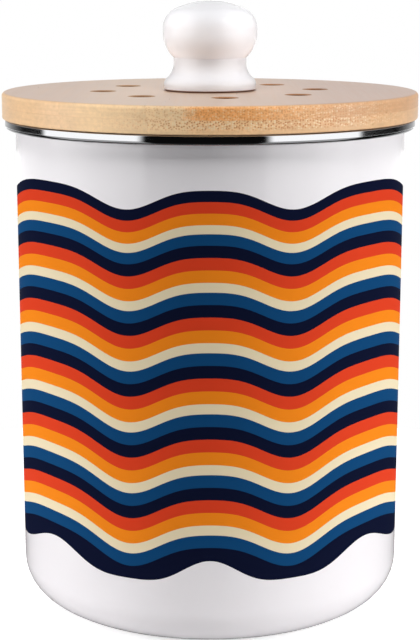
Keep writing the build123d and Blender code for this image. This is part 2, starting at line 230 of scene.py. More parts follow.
def add_node(tree, kind, inputs=None, **settings):
    """Adds a shader node. An input is a value, an output, or a node, which gives its first output."""
    node = tree.nodes.new("ShaderNode" + kind)
    for name, value in settings.items():
        setattr(node, name, value)
    sockets = {socket.identifier: socket for socket in node.inputs}
    for name, value in (inputs or {}).items():
        if isinstance(value, dict):
            value = next(iter(value.values()))
        if isinstance(value, bpy.types.NodeSocket):
            tree.links.new(value, sockets[name])
        else:
            sockets[name].default_value = value
    return {socket.identifier: socket for socket in node.outputs}


def start_material(name):
    """A new material with an empty tree, and the object coordinates that its patterns follow."""
    material = bpy.data.materials.new(name)
    material.use_nodes = True
    tree = material.node_tree
    tree.nodes.clear()
    return material, tree, add_node(tree, "TexCoord")["Object"]


def shade(rgba, factor):
    """The same linear colour, lighter or darker."""
    return [min(1.0, channel * factor) for channel in rgba[:3]] + [1.0]


def sprayed_glass(name, rgba, roughness, mottle, ior, specular):
    """Vitreous enamel or fired ink: opaque glass, glossy, with the low orange peel that spraying leaves."""
    peel_size, peel_height = 3.2 * MM, 0.012 * MM
    mottle_size, gloss_mottle = 26 * MM, 0.15
    material, tree, place = start_material(name)
    cloud = add_node(tree, "TexNoise", {"Vector": place, "Scale": 1 / mottle_size, "Detail": 2.0})
    tone = add_node(
        tree, "Mix",
        {"Factor_Float": cloud, "A_Color": shade(rgba, 1 - mottle), "B_Color": shade(rgba, 1 + mottle)},
        data_type="RGBA",
    )
    gloss = add_node(
        tree, "MapRange",
        {"Value": cloud, "To Min": roughness * (1 - gloss_mottle), "To Max": roughness * (1 + gloss_mottle)},
    )
    peel = add_node(tree, "TexNoise", {"Vector": place, "Scale": 1 / peel_size, "Detail": 1.0})
    bump = add_node(tree, "Bump", {"Height": peel, "Distance": peel_height})
    surface = add_node(tree, "BsdfPrincipled", {
        "Base Color": tone["Result_Color"], "Roughness": gloss, "Normal": bump, "IOR": ior,
        "Specular IOR Level": specular,
    })
    add_node(tree, "OutputMaterial", {"Surface": surface})
    return material


def polished_stainless(name, rgba):
    """Rolled stainless band, buffed round the rim: a clear mirror, which the buffing lines draw out."""
    line_length, line_pitch, line_height = 9 * MM, 0.12 * MM, 0.0004 * MM
    roll_size, roll_height = 14 * MM, 0.02 * MM
    smoothest, roughest = 0.03, 0.08
    material, tree, place = start_material(name)
    lines_at = add_node(
        tree, "Mapping", {"Vector": place, "Scale": (1 / line_length, 1 / line_length, 1 / line_pitch)}
    )
    lines = add_node(tree, "TexNoise", {"Vector": lines_at, "Scale": 1.0, "Detail": 3.0})
    rolls = add_node(tree, "TexNoise", {"Vector": place, "Scale": 1 / roll_size, "Detail": 1.0})
    wavy = add_node(tree, "Bump", {"Height": rolls, "Distance": roll_height})
    buffed = add_node(tree, "Bump", {"Height": lines, "Distance": line_height, "Normal": wavy})
    gloss = add_node(tree, "MapRange", {"Value": lines, "To Min": smoothest, "To Max": roughest})
    surface = add_node(
        tree, "BsdfPrincipled", {"Base Color": rgba, "Metallic": 1.0, "Roughness": gloss, "Normal": buffed}
    )
    add_node(tree, "OutputMaterial", {"Surface": surface})
    return material


def laminated_bamboo(name, finish, box, first_seam, amber, right_tone_and_shade, speckle, speckle_from):
    """Boards of steamed bamboo strips that run front to back, sanded and oiled to a satin sheen.

    The pattern is solid. The faces show long fibres, and the front edge shows the cut ends of the
    fibre bundles, which crowd together near the culm's skin at the top of each board. A pale sheen is
    painted on the top, and shade is painted on both ends of the edge and in the vents' walls.
    """
    strip_width, strip_contrast, seam_width, seam_strength = 17.4 * MM, 0.07, 0.3 * MM, 0.06
    bundle_width, bundle_height, bundle_core, bundle_edge, crowd_rise = 1.0 * MM, 0.85 * MM, 0.2, 0.48, 0.3
    right_tone_and_shade_start, right_tone_and_shade_full = -5 * MM, 60 * MM
    speckle_start, speckle_full, speckle_fades, speckle_ends = -48 * MM, -2 * MM, 42 * MM, 98 * MM
    amber_left, amber_right, amber_ragged = (-9 * MM, -1 * MM), (62 * MM, 8 * MM), 5 * MM
    shaded_start, shaded_full, shaded_share = -40 * MM, -64 * MM, 0.45
    drift_length, drift_squash, drift = 38 * MM, 0.3, 0.9 * MM
    fibre_pitch, fibre_length, fibre_height = 1.4 * MM, 60 * MM, 0.006 * MM
    cloud_width, cloud_length = 9 * MM, 120 * MM
    layer_pitch, layer_length = 1.3 * MM, 30 * MM
    node_spread, node_width, node_wander, node_strength = 260 * MM, 2.4 * MM, 6 * MM, 0.12
    vent_ring, vent_reach = 46 * MM, 8 * MM
    glue_width, glue_strength = 0.25 * MM, 0.2
    low, high = box
    speckled = low.z + (high.z - low.z) * speckle_from
    crowded = speckled + (high.z - low.z) * crowd_rise
    material, tree, place = start_material(name)
    at = add_node(tree, "SeparateXYZ", {"Vector": place})
    facing = add_node(tree, "SeparateXYZ", {"Vector": add_node(tree, "TexCoord")["Normal"]})
    along, level = [add_node(tree, "Math", {"Value": facing[axis]}, operation="ABSOLUTE") for axis in "YZ"]

    # Each strip has its own number, and its own tone and grain from that number.
    across = add_node(
        tree, "Math",
        {"Value": at["X"], "Value_001": 1 / strip_width, "Value_002": -first_seam / strip_width},
        operation="MULTIPLY_ADD",
    )
    strip, within = [add_node(tree, "Math", {"Value": across}, operation=part) for part in ("FLOOR", "FRACT")]
    number = add_node(tree, "CombineXYZ", {"X": strip, "Y": first_seam})
    chance = add_node(tree, "TexWhiteNoise", {"Vector": number}, noise_dimensions="2D")
    moved = add_node(tree, "VectorMath", {"Vector": place, "Vector_001": chance["Color"]}, operation="ADD")
    to_seam = add_node(tree, "Math", {"Value": within, "Value_001": 0.5}, operation="PINGPONG")

    # The grain drifts a little on its way from front to back.
    drift_at = add_node(tree, "Mapping", {
        "Vector": moved,
        "Scale": (drift_squash / drift_length, 1 / drift_length, drift_squash / drift_length),
    })
    drifting = add_node(tree, "TexNoise", {"Vector": drift_at, "Scale": 1.0, "Detail": 1.0})
    grain = add_node(
        tree, "VectorMath",
        {"Vector": drifting["Color"], "Vector_001": (drift, 0, drift), "Vector_002": moved},
        operation="MULTIPLY_ADD",
    )
    fibres, clouds, layers = [
        add_node(tree, "TexNoise", {
            "Vector": add_node(tree, "Mapping", {"Vector": follows, "Scale": [1 / size for size in cell]}),
            "Scale": 1.0, "Detail": detail,
        })
        for follows, cell, detail in (
            (grain, (fibre_pitch, fibre_length, fibre_pitch), 4.0),
            (grain, (cloud_width, cloud_length, cloud_width), 2.0),
            (moved, (layer_length, layer_length, layer_pitch), 3.0),
        )
    ]

    # Fibre bundles: round in the end grain, some brown and some pale
    bundle_at = add_node(
        tree, "Mapping",
        {"Vector": grain, "Rotation": (radians(90), 0, 0), "Scale": (1 / bundle_width, 0, 1 / bundle_height)},
        vector_type="POINT",
    )
    bundles = add_node(
        tree, "TexVoronoi", {"Vector": bundle_at, "Scale": 1.0, "Randomness": 0.9}, voronoi_dimensions="2D"
    )
    bundle_chance = add_node(tree, "SeparateColor", {"Color": bundles["Color"]})
    ragged_x = add_node(
        tree, "Math", {"Value": bundle_chance["Green"], "Value_001": amber_ragged, "Value_002": at["X"]},
        operation="MULTIPLY_ADD",
    )

    # The ridge where the culm had a node crosses each strip once, at a place of its own.
    node_off = at["Y"]
    for value, factor, shift in ((chance["Value"], -node_spread, node_spread / 2), (clouds, node_wander, 0)):
        moving = add_node(
            tree, "Math", {"Value": value, "Value_001": factor, "Value_002": shift}, operation="MULTIPLY_ADD"
        )
        node_off = add_node(tree, "Math", {"Value": node_off, "Value_001": moving}, operation="ADD")
    from_node = add_node(tree, "Math", {"Value": node_off}, operation="ABSOLUTE")

    # The vents' walls lie near the vents' circle and stand upright, and brown shade is painted on them.
    flat = add_node(tree, "CombineXYZ", {"X": at["X"], "Y": at["Y"]})
    from_axis = add_node(tree, "VectorMath", {"Vector": flat}, operation="LENGTH")["Value"]
    in_vents = add_node(
        tree, "Math", {"Value": from_axis, "Value_001": vent_ring, "Value_002": vent_reach},
        operation="COMPARE",
    )

    # Each mask runs from one strength to the other while its value runs from start to end.
    masks = {}
    for mask, curve, value, start, end, weakest, strongest in (
        ("end grain", "LINEAR", along, 0.25, 0.85, 0, 1),
        ("upright", "LINEAR", level, 0.85, 0.65, 0, 1),
        # The next mask paints a pale sheen onto faces that look up.
        ("painted_sheen", "LINEAR", facing["Z"], 0.8, 1.0, 0, 0.65),
        ("pale", "LINEAR", bundle_chance["Red"], 0.55, 0.7, 0, 1),
        ("cloudy", "LINEAR", clouds, 0.3, 0.7, 0.96, 1.04),
        ("streaked", "LINEAR", fibres, 0.25, 0.75, 0.92, 1.07),
        ("layered", "LINEAR", layers, 0.3, 0.7, 0.93, 1.03),
        ("gloss", "LINEAR", fibres, 0, 1, 0.24, 0.36),
        ("dot", "SMOOTHSTEP", bundles, bundle_edge, bundle_core, 0, 1),
        ("crowd", "SMOOTHSTEP", at["Z"], speckled, crowded, 0, 1),
        ("side", "SMOOTHSTEP", at["X"], speckle_start, speckle_full, 0, 1),
        ("end", "SMOOTHSTEP", at["X"], speckle_ends, speckle_fades, 0, 1),
        ("left", "SMOOTHSTEP", ragged_x, *amber_left, 0, 1),
        ("right", "SMOOTHSTEP", ragged_x, *amber_right, 0, 1),
        ("glued", "SMOOTHSTEP", at["Z"], low.z + glue_width, low.z, 0, glue_strength),
        # The right end is darker, partly in its strips' own tone and partly painted shade; shaded paints
        # shade on the left end.
        ("darker", "SMOOTHSTEP", at["X"], right_tone_and_shade_start, right_tone_and_shade_full, 0, right_tone_and_shade),
        ("shaded", "SMOOTHSTEP", at["X"], shaded_start, shaded_full, 0, shaded_share),
        ("seam", "SMOOTHSTEP", to_seam, seam_width / strip_width, 0, 0, seam_strength),
        ("node", "SMOOTHSTEP", from_node, node_width, 0, 0, node_strength),
    ):
        masks[mask] = add_node(
            tree, "MapRange",
            {"Value": value, "From Min": start, "From Max": end, "To Min": weakest, "To Max": strongest},
            interpolation_type=curve,
        )
    for product, factors in (
        ("dots", (speckle, masks["dot"], masks["crowd"], masks["side"], masks["end"], masks["end grain"])),
        ("amber", (amber, masks["left"], masks["right"], masks["end grain"])),
        ("ridge", (masks["node"], level)),
        ("strip", (strip_contrast, chance["Value"])),
        # The vents' walls and chamfers get painted shade.
        ("vent_shade", (in_vents, masks["upright"])),
    ):
        masks[product] = factors[0]
        for factor in factors[1:]:
            masks[product] = add_node(
                tree, "Math", {"Value": masks[product], "Value_001": factor}, operation="MULTIPLY"
            )
    bundle_colour = add_node(
        tree, "Mix",
        {"Factor_Float": masks["pale"], "A_Color": finish.bamboo_fibre, "B_Color": finish.bamboo_core},
        data_type="RGBA",
    )["Result_Color"]

    # The tones lie over each other, from the shade painted at both ends, which at the right end is partly its
    # strips' own tone, and the strips' tones up to the shade painted in the vents' walls.
    tone = finish.bamboo_pale
    for blend, factor, layer in (
        ("MIX", masks["darker"], finish.bamboo_dark_and_shade),
        ("MIX", masks["shaded"], finish.bamboo_dark_and_shade),
        ("MIX", masks["strip"], finish.bamboo_dark_and_shade),
        ("MIX", masks["amber"], finish.bamboo_amber),
        ("MULTIPLY", 1.0, masks["cloudy"]),
        ("MULTIPLY", 1.0, masks["streaked"]),
        ("MULTIPLY", 1.0, masks["layered"]),
        ("MIX", masks["dots"], bundle_colour),
        ("MIX", masks["ridge"], finish.bamboo_fibre),
        ("MIX", masks["seam"], finish.bamboo_fibre),
        ("MIX", masks["glued"], finish.bamboo_fibre),
        ("MIX", masks["painted_sheen"], finish.bamboo_painted_sheen),
        ("MIX", masks["vent_shade"], finish.bamboo_vent_shade),
    ):
        tone = add_node(
            tree, "Mix", {"Factor_Float": factor, "A_Color": tone, "B_Color": layer},
            data_type="RGBA", blend_type=blend,
        )["Result_Color"]
    bump = add_node(tree, "Bump", {"Height": fibres, "Distance": fibre_height})
    surface = add_node(
        tree, "BsdfPrincipled", {"Base Color": tone, "Roughness": masks["gloss"], "Normal": bump, "IOR": 1.55}
    )
    add_node(tree, "OutputMaterial", {"Surface": surface})
    return material


def glazed_porcelain(name, rgba, foot_shadow, foot):
    """White porcelain under a clear glaze: wet gloss, with slow swells where the glaze ran, and a dark band
    painted just over the foot as its contact shadow.
    """
    swell_size, swell_height, swell_tone = 9 * MM, 0.05 * MM, 0.97
    pit_size, pit_height = 0.8 * MM, 0.002 * MM
    smoothest, roughest = 0.07, 0.12
    foot_shadow_height, glow, glow_depth = 0.5 * MM, 0.6, 7 * MM
    material, tree, place = start_material(name)
    swells = add_node(tree, "TexNoise", {"Vector": place, "Scale": 1 / swell_size, "Detail": 1.0})
    pits = add_node(tree, "TexNoise", {"Vector": place, "Scale": 1 / pit_size, "Detail": 2.0})
    swelling = add_node(tree, "Bump", {"Height": swells, "Distance": swell_height})
    pitted = add_node(tree, "Bump", {"Height": pits, "Distance": pit_height, "Normal": swelling})
    at = add_node(tree, "SeparateXYZ", {"Vector": place})
    # The lowest millimetre of the foot turns dark: a contact shadow painted where the knob meets the lid.
    foot_shadow_mask = add_node(
        tree, "MapRange",
        {"Value": at["Z"], "From Min": foot + 2 * foot_shadow_height, "From Max": foot + foot_shadow_height},
        interpolation_type="SMOOTHSTEP",
    )
    tone = shade(rgba, swell_tone)
    for factor, layer in ((swells, rgba), (foot_shadow_mask, foot_shadow)):
        tone = add_node(
            tree, "Mix", {"Factor_Float": factor, "A_Color": tone, "B_Color": layer}, data_type="RGBA"
        )["Result_Color"]
    gloss = add_node(tree, "MapRange", {"Value": swells, "To Min": smoothest, "To Max": roughest})
    surface = add_node(tree, "BsdfPrincipled", {
        "Base Color": tone, "Roughness": gloss, "Normal": pitted, "IOR": 1.5,
        "Subsurface Weight": glow, "Subsurface Radius": (1, 1, 1), "Subsurface Scale": glow_depth,
    })
    add_node(tree, "OutputMaterial", {"Surface": surface})
    return material


def moulded_satin(name, rgba, roughness, grain_size, grain_height, ior):
    """Moulded plastic or rubber: one colour all through, and the fine spark-eroded grain of its mould."""
    cloud_size, darkest, lightest, gloss_mottle = 18 * MM, 0.95, 1.03, 0.12
    material, tree, place = start_material(name)
    grain = add_node(tree, "TexNoise", {"Vector": place, "Scale": 1 / grain_size, "Detail": 2.0})
    clouds = add_node(tree, "TexNoise", {"Vector": place, "Scale": 1 / cloud_size, "Detail": 2.0})
    bump = add_node(tree, "Bump", {"Height": grain, "Distance": grain_height})
    tone = add_node(
        tree, "Mix",
        {"Factor_Float": clouds, "A_Color": shade(rgba, darkest), "B_Color": shade(rgba, lightest)},
        data_type="RGBA",
    )
    gloss = add_node(
        tree, "MapRange",
        {"Value": grain, "To Min": roughness * (1 - gloss_mottle), "To Max": roughness * (1 + gloss_mottle)},
    )
    surface = add_node(
        tree, "BsdfPrincipled",
        {"Base Color": tone["Result_Color"], "Roughness": gloss, "Normal": bump, "IOR": ior},
    )
    add_node(tree, "OutputMaterial", {"Surface": surface})
    return material


def turned_metal(name, rgba, roughness, line_height):
    """Turned brass or plated steel: fine tool lines round the axis, and a slightly uneven shine."""
    line_pitch, line_length, cloud_size = 0.16 * MM, 6 * MM, 3 * MM
    darkest, lightest, smoothest, roughest = 0.9, 1.05, 0.8, 1.3
    material, tree, place = start_material(name)
    lines_at = add_node(
        tree, "Mapping", {"Vector": place, "Scale": (1 / line_length, 1 / line_length, 1 / line_pitch)}
    )
    lines = add_node(tree, "TexNoise", {"Vector": lines_at, "Scale": 1.0, "Detail": 2.0})
    clouds = add_node(tree, "TexNoise", {"Vector": place, "Scale": 1 / cloud_size, "Detail": 3.0})
    bump = add_node(tree, "Bump", {"Height": lines, "Distance": line_height})
    tone = add_node(
        tree, "Mix",
        {"Factor_Float": clouds, "A_Color": shade(rgba, darkest), "B_Color": shade(rgba, lightest)},
        data_type="RGBA",
    )
    gloss = add_node(
        tree, "MapRange", {"Value": clouds, "To Min": roughness * smoothest, "To Max": roughness * roughest}
    )
    surface = add_node(
        tree, "BsdfPrincipled",
        {"Base Color": tone["Result_Color"], "Metallic": 1.0, "Roughness": gloss, "Normal": bump},
    )
    add_node(tree, "OutputMaterial", {"Surface": surface})
    return material


def needled_felt(name, rgba):
    """Needle-punched felt full of charcoal: black matted fibres, with a grey nap and small needle pits."""
    fibre_width, fibre_depth, fibre_length, fibre_height = 0.22 * MM, 0.66 * MM, 2.2 * MM, 0.25 * MM
    pit_pitch, pit_depth = 1.9 * MM, 0.3 * MM
    nap_from, nap_full, black, grey = 0.5, 0.75, 0.5, 3.0
    material, tree, place = start_material(name)
    matted = 0.0
    for lean in (-50, 20, 75):
        laid = add_node(
            tree, "Mapping",
            {
                "Vector": place, "Rotation": (0, 0, radians(lean)),
                "Scale": (fibre_length, fibre_width, fibre_depth),
            },
            vector_type="TEXTURE",
        )
        layer = add_node(tree, "TexNoise", {"Vector": laid, "Scale": 1.0, "Detail": 2.0})
        matted = add_node(tree, "Math", {"Value": matted, "Value_001": layer}, operation="MAXIMUM")
    pits = add_node(tree, "TexVoronoi", {"Vector": place, "Scale": 1 / pit_pitch, "Randomness": 0.7})
    napped = add_node(tree, "MapRange", {"Value": matted, "From Min": nap_from, "From Max": nap_full})
    tone = add_node(
        tree, "Mix", {"Factor_Float": napped, "A_Color": shade(rgba, black), "B_Color": shade(rgba, grey)},
        data_type="RGBA",
    )
    nap = add_node(tree, "Bump", {"Height": matted, "Distance": fibre_height})
    pitted = add_node(tree, "Bump", {"Height": pits, "Distance": pit_depth, "Normal": nap})
    surface = add_node(tree, "BsdfPrincipled", {
        "Base Color": tone["Result_Color"], "Roughness": 0.95, "Normal": pitted,
        "Sheen Weight": 0.15, "Sheen Roughness": 0.5,
    })
    add_node(tree, "OutputMaterial", {"Surface": surface})
    return material


def outline(corners, closed=False):
    """Draws a half section in the XZ plane. A corner is (x, z), or (x, z, radius) where it is rounded."""
    bm = bmesh.new()
    verts = [bm.verts.new((x, 0, z)) for x, z, *_ in corners]
    run = verts + verts[:1] if closed else verts
    for first, second in zip(run, run[1:]):
        bm.edges.new((first, second))
    for vert, (_, _, *radius) in zip(verts, corners):
        if radius:
            arms = [edge.other_vert(vert).co - vert.co for edge in vert.link_edges]
            inside = arms[0].angle(arms[1])
            bmesh.ops.bevel(
                bm, geom=[vert], offset=radius[0] / tan(inside / 2), offset_type="OFFSET",
                affect="VERTICES", segments=max(2, ceil((radians(180) - inside) / ARC_STEP)),
                profile=0.5, material=-1,
            )
    return bm


def lathe(bm, steps):
    """Turns a half section all the way round Z, and closes it where it meets the axis."""
    bmesh.ops.spin(
        bm, geom=bm.verts[:] + bm.edges[:], cent=ORIGIN, axis=UP, angle=tau, steps=steps, use_merge=True
    )
    bmesh.ops.remove_doubles(bm, verts=bm.verts[:], dist=WELD)
    bmesh.ops.recalc_face_normals(bm, faces=bm.faces[:])


class Pen:
    """Draws a half section whose lines and arcs run on smoothly from each other."""

    def __init__(self, x, z):
        self.bm = bmesh.new()
        self.tip = self.bm.verts.new((x, 0, z))
        self.heading = 0.0

    def line(self, distance):
        """A straight run, the way that the pen is heading."""
        step = Vector((cos(self.heading), 0, sin(self.heading))) * distance
        start = self.tip
        self.tip = self.bm.verts.new(start.co + step)
        self.bm.edges.new((start, self.tip))

    def arc(self, radius, angle):
        """An arc that turns left by angle, or right where it is below zero."""
        side = self.heading + (radians(90) if angle > 0 else radians(-90))
        centre = self.tip.co + Vector((cos(side), 0, sin(side))) * radius
        drawn = bmesh.ops.spin(
            self.bm, geom=[self.tip], cent=centre, axis=TURN_IN_SECTION, angle=angle,
            steps=max(3, ceil(abs(angle) / (ARC_STEP / 2))),
        )
        self.tip = next(item for item in drawn["geom_last"] if isinstance(item, bmesh.types.BMVert))
        self.heading += angle

    def turn_to(self, degrees):
        """Points the pen another way, which leaves a corner."""
        self.heading = radians(degrees)


def drilled_disc(radius, bottom, top, steps, holes):
    """A disc with through holes. holes gives (diameter, circle diameter, number, turn) of each ring."""
    bm = bmesh.new()
    hole_steps = 48
    bmesh.ops.create_circle(bm, radius=radius, segments=steps, matrix=Matrix.Translation(UP * bottom))
    for diameter, circle, number, first in holes:
        for index in range(number):
            angle = first + index * tau / number
            centre = Vector((cos(angle), sin(angle), 0)) * circle / 2 + UP * bottom
            bmesh.ops.create_circle(
                bm, radius=diameter / 2, segments=hole_steps, matrix=Matrix.Translation(centre)
            )
    bmesh.ops.triangle_fill(bm, edges=bm.edges[:], use_beauty=True)
    raised = bmesh.ops.extrude_face_region(bm, geom=bm.faces[:])["geom"]
    bmesh.ops.translate(
        bm, verts=[item for item in raised if isinstance(item, bmesh.types.BMVert)], vec=UP * (top - bottom)
    )
    bmesh.ops.recalc_face_normals(bm, faces=bm.faces[:])
    return bm


def round_rim(bm, height, radius, rounding):
    """Rounds the rim of a disc's level face. An inset keeps the rest of that face flat."""
    steps, nearly_level = 8, 0.9
    flat = [
        face for face in bm.faces
        if abs(face.normal.z) > nearly_level and abs(face.calc_center_median().z - height) < WELD
    ]
    bmesh.ops.inset_region(bm, faces=flat, thickness=2 * rounding, use_even_offset=True)
    rim = [
        edge for edge in bm.edges
        if all(
            abs(vert.co.z - height) < WELD and abs(vert.co.xy.length - radius) < WELD
            for vert in edge.verts
        )
    ]
    bmesh.ops.bevel(
        bm, geom=rim, offset=rounding, affect="EDGES", segments=steps, profile=0.5, material=-1
    )


def add_piece(name, bm, body, stands_for, materials):
    """Makes a mesh a piece of the object, in place of the CAD nodes that it stands for."""
    for face in bm.faces:
        face.smooth = True
    for edge in bm.edges:
        edge.smooth = edge.calc_face_angle(0) < SHARP_ANGLE
    mesh = bpy.data.meshes.new(name)
    bm.to_mesh(mesh)
    bm.free()
    for material in materials:
        mesh.materials.append(material)
    piece = bpy.data.objects.new(name, mesh)
    bpy.context.collection.objects.link(piece)
    piece.modifiers.new("Level normals", "WEIGHTED_NORMAL").keep_sharp = True
    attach(piece, body)
    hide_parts(*stands_for)
    return piece


def dress(node, material):
    """Gives a CAD node that stays its finished material."""
    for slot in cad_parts[node].material_slots:
        slot.material = material


def printed_bands(design):
    """The bands' upper edges from the top down, as (crest height, ink). The last one ends the print."""
    bands, crest = [], design.top_crest
    for repeat in range(design.repeats):
        pitch = design.pitch - design.squeeze / 2 ** repeat
        for ink, share in enumerate(design.shares, FIRST_INK):
            bands.append((crest, ink))
            crest -= pitch * share
    return bands + [(crest, FIRST_INK), (crest - design.last_band, ENAMEL)]


class CADDY_OT_pot(bpy.types.Operator):
    """Make the enamelled pot, with its printed waves as bands of its own wall"""
    bl_idname = "caddy.pot"
    bl_label = "Enamelled Pot"

    def execute(self, context):
        pot, design, finish = context.scene.caddy_pot, context.scene.caddy_print, context.scene.caddy_finish
        low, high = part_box("rim_band")
        radius = pot.diameter / 2
        flange = high.z - pot.rim_sheet - pot.rim_fit - pot.wall
        hem = high.x - pot.rim_sheet - pot.rim_fit - pot.wall
        slope_end = radius - pot.base_corner - pot.base_ring
        bands = printed_bands(design)
        bm = outline([
            (0, pot.base_rise),
            (slope_end - pot.base_slope, pot.base_rise, pot.slope_round),
            (slope_end, 0, pot.slope_round),
            (radius, 0, pot.base_corner),
            *[(radius, crest) for crest, _ in reversed(bands)],
            (radius, flange, pot.lip_round),
            (hem, flange, pot.hem_round),
            (hem, low.z + pot.rim_lower_round),
        ])
        lathe(bm, steps=360)
        if bm.calc_volume(signed=True) < 0:
            bmesh.ops.reverse_faces(bm, faces=bm.faces[:])
        for face in bm.faces:
            middle = face.calc_center_median().z
            face.material_index = next((ink for crest, ink in reversed(bands) if middle < crest), ENAMEL)
        outside = set(bm.faces)
        bmesh.ops.solidify(bm, geom=bm.faces[:], thickness=pot.wall)
        for face in set(bm.faces) - outside:
            face.material_index = ENAMEL
        self.wave(bm, design, bands, radius)
        inks = [
            sprayed_glass(
                "Matt fired ink, " + name, getattr(design, name), roughness=0.6, mottle=0.03, ior=1.3,
                specular=0.02,
            )
            for name in INKS
        ]
        white = sprayed_glass(
            "White vitreous enamel", finish.enamel, roughness=0.09, mottle=0.012, ior=1.55, specular=0.5
        )
        add_piece("enamelled_pot", bm, "pot", ["body_shell"], [white, *inks])
        return {"FINISHED"}

    def wave(self, bm, design, bands, radius):
        """Moves each band's upper edge down from its crests, along the wall."""
        skin = [vert for vert in bm.verts if abs(vert.co.xy.length - radius) < WELD]
        edges = [[vert for vert in skin if abs(vert.co.z - crest) < WELD] for crest, _ in bands]
        for (crest, ink), edge in zip(bands, edges):
            swing = design.swing + design.swing_growth * (design.top_crest - crest)
            flatness = design.flatness
            if ink == ENAMEL:
                swing, flatness = design.last_swing, design.last_flatness
            for vert in edge:
                angle = Vector((0, -1)).angle_signed(vert.co.xy, 0.0)
                phase = design.waves * angle + design.side_stretch * sin(2 * angle)
                vert.co.z -= swing * (1 - cos(phase)) - flatness * (1 - cos(2 * phase))


class CADDY_OT_rim(bpy.types.Operator):
    """Roll the polished stainless band that grips the pot's hem"""
    bl_idname = "caddy.rim"
    bl_label = "Rim Band"

    def execute(self, context):
        pot, finish = context.scene.caddy_pot, context.scene.caddy_finish
        low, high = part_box("rim_band")
        upper_leg = pot.diameter / 2 - pot.wall + pot.rim_leg_gap
        lower_leg = pot.diameter / 2 + pot.rim_leg_gap
        sheet = pot.rim_sheet
        # Points close to both rounds keep the band's face flat, so that it mirrors without bending.
        hold = 0.06 * MM
        bm = outline([
            (upper_leg, high.z),
            (high.x, high.z, pot.rim_upper_round),
            (high.x, high.z - pot.rim_upper_round - hold),
            (high.x, low.z + pot.rim_lower_round + hold),
            (high.x, low.z, pot.rim_lower_round),
            (lower_leg, low.z),
            (lower_leg, low.z + sheet),
            (high.x - sheet, low.z + sheet, pot.rim_lower_round - sheet),
            (high.x - sheet, high.z - sheet, pot.rim_upper_round - sheet),
            (upper_leg, high.z - sheet),
        ], closed=True)
        lathe(bm, steps=360)
        steel = polished_stainless("Polished stainless steel", finish.rim)
        add_piece("steel_rim", bm, "pot", ["rim_band"], [steel])
        return {"FINISHED"}


class CADDY_OT_boards(bpy.types.Operator):
    """Cut the lid's two bamboo boards, with their vents"""
    bl_idname = "caddy.boards"
    bl_label = "Lid Boards"

    def execute(self, context):
        lid, finish = context.scene.caddy_lid, context.scene.caddy_finish
        vents = (lid.vent, lid.vent_circle, lid.vent_count, radians(-90) + lid.vent_turn)
        self.upper(lid, finish, vents)
        self.lower(lid, finish, vents)
        return {"FINISHED"}

    def upper(self, lid, finish, vents):
        """The board that shows, with its upper edge rounded and its vents chamfered"""
        low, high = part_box("lid_upper_ply")
        bm = drilled_disc(high.x, low.z, high.z, steps=360, holes=[(lid.bore, 0, 1, 0), vents])
        round_rim(bm, high.z, high.x, lid.top_round)
        vent_edges = [
            edge for edge in bm.edges
            if edge.calc_face_angle(0) > SHARP_ANGLE
            and all(abs(vert.co.z - high.z) < WELD for vert in edge.verts)
            and edge.verts[0].co.xy.length > lid.vent
        ]
        bmesh.ops.bevel(
            bm, geom=vent_edges, offset=lid.vent_chamfer, affect="EDGES", segments=1, profile=0.5,
            material=-1,
        )
        wood = laminated_bamboo(
            "Bamboo, upper board", finish, (low, high), first_seam=-7.0 * MM, amber=1.0, right_tone_and_shade=1.0,
            speckle=0.45, speckle_from=-0.3,
        )
        add_piece("upper_board", bm, "lid", ["lid_upper_ply"], [wood])

    def lower(self, lid, finish, vents):
        """The board under it, with the pocket for the washer"""
        low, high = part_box("lid_lower_ply")
        pilots = (lid.pilot, lid.pilot_circle, lid.pilot_count, lid.pilot_turn)
        pocket = (lid.counterbore, 0, 1, 0)
        bm = drilled_disc(high.x, low.z, high.z, steps=360, holes=[pocket, vents, pilots])
        bore = [vert for vert in bm.verts if vert.co.xy.length < lid.counterbore]
        walls = {
            edge for vert in bore for edge in vert.link_edges
            if abs(edge.verts[0].co.z - edge.verts[1].co.z) > WELD
        }
        bmesh.ops.subdivide_edges(bm, edges=list(walls), cuts=2)
        for vert in bm.verts:
            if vert.co.xy.length < lid.counterbore:
                if vert.co.z > (low.z + high.z) / 2:
                    vert.co.xy *= lid.bore / lid.counterbore
                if low.z + WELD < vert.co.z < high.z - WELD:
                    vert.co.z = low.z + lid.counterbore_depth
        round_rim(bm, low.z, high.x, lid.bottom_round)
        wood = laminated_bamboo(
            "Bamboo, lower board", finish, (low, high), first_seam=-6.4 * MM, amber=0.25, right_tone_and_shade=0.7,
            speckle=0.75, speckle_from=0.2,
        )
        add_piece("lower_board", bm, "lid", ["lid_lower_ply"], [wood])


